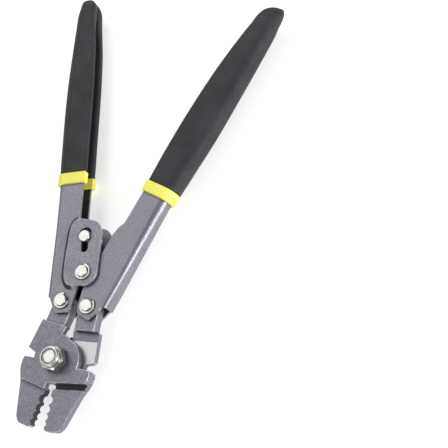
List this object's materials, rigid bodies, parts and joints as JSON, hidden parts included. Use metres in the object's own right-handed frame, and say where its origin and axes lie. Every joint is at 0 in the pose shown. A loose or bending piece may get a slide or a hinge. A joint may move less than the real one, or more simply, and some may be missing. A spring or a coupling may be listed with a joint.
{
  "type": "crimping pliers",
  "caption": "Compound-lever crimping pliers with stepped round jaw cavities, side cutters at the hub, channel handles with dipped grips and a sliding lock pin.",
  "frame": {"origin": "on the main pivot's axis, at the outer face of the bolt head, which is the lowest point when the tool lies nut side up", "axes": "+Y along the tool towards the handle ends, +Z along the pivot axis from the bolt head to the nut, +X to the right handle"},
  "size_m": [0.1459, 0.2762, 0.0259],
  "materials": {
    "grey_coat": "satin metallic grey coat with fine grain",
    "bright_zinc": "bright zinc plate",
    "grip_vinyl": "matte pebbled dip coat",
    "band_vinyl": "satin dip coat",
    "nylon": "satin",
    "red_plastic": "satin"
  },
  "bodies": {
    "left_jaw": {"jaw_left": "grey_coat", "pivot_bolt": "bright_zinc", "bolt_washer": "bright_zinc", "pivot_nut": "bright_zinc", "nut_insert": "nylon"},
    "right_jaw": {"jaw_right": "grey_coat"},
    "left_handle": {"handle_left": "grey_coat", "grip_left": "grip_vinyl", "grip_band_left": "band_vinyl", "jaw_pin_left": "bright_zinc", "jaw_pin_clip_left_front": "bright_zinc", "jaw_pin_clip_left_back": "bright_zinc", "handle_pin": "bright_zinc", "handle_pin_clip_front": "bright_zinc", "handle_pin_clip_back": "bright_zinc"},
    "right_handle": {"handle_right": "grey_coat", "grip_right": "grip_vinyl", "grip_band_right": "band_vinyl", "jaw_pin_right": "bright_zinc", "jaw_pin_clip_right_front": "bright_zinc", "jaw_pin_clip_right_back": "bright_zinc"},
    "lock": {"lock_pin": "bright_zinc", "lock_sleeve": "red_plastic"}
  },
  "joints": [
    {"name": "jaw_hinge", "type": "hinge", "parent": "left_jaw", "child": "right_jaw", "pos_m": [0, 0, 0.0115], "axis": [0, 0, -1], "range_deg": [-5.28, 13]},
    {"name": "left_handle_hinge", "type": "hinge", "parent": "left_jaw", "child": "left_handle", "pos_m": [-0.0087, 0.0338, 0.0115], "axis": [0, 0, -1], "range_deg": [-7.8, 18.95]},
    {"name": "right_handle_hinge", "type": "hinge", "parent": "right_jaw", "child": "right_handle", "pos_m": [0.0087, 0.0338, 0.0115], "axis": [0, 0, 1], "range_deg": [-7.8, 18.95]},
    {"name": "lock_slide", "type": "slide", "parent": "left_handle", "child": "lock", "axis": [0.2504, -0.9681, 0], "range_m": [-0.002, 0.0074]}
  ],
  "couplings": [
    {"joint": "left_handle_hinge", "follows": "jaw_hinge", "ratio": 1.4477},
    {"joint": "right_handle_hinge", "follows": "jaw_hinge", "ratio": 1.4477}
  ]
}
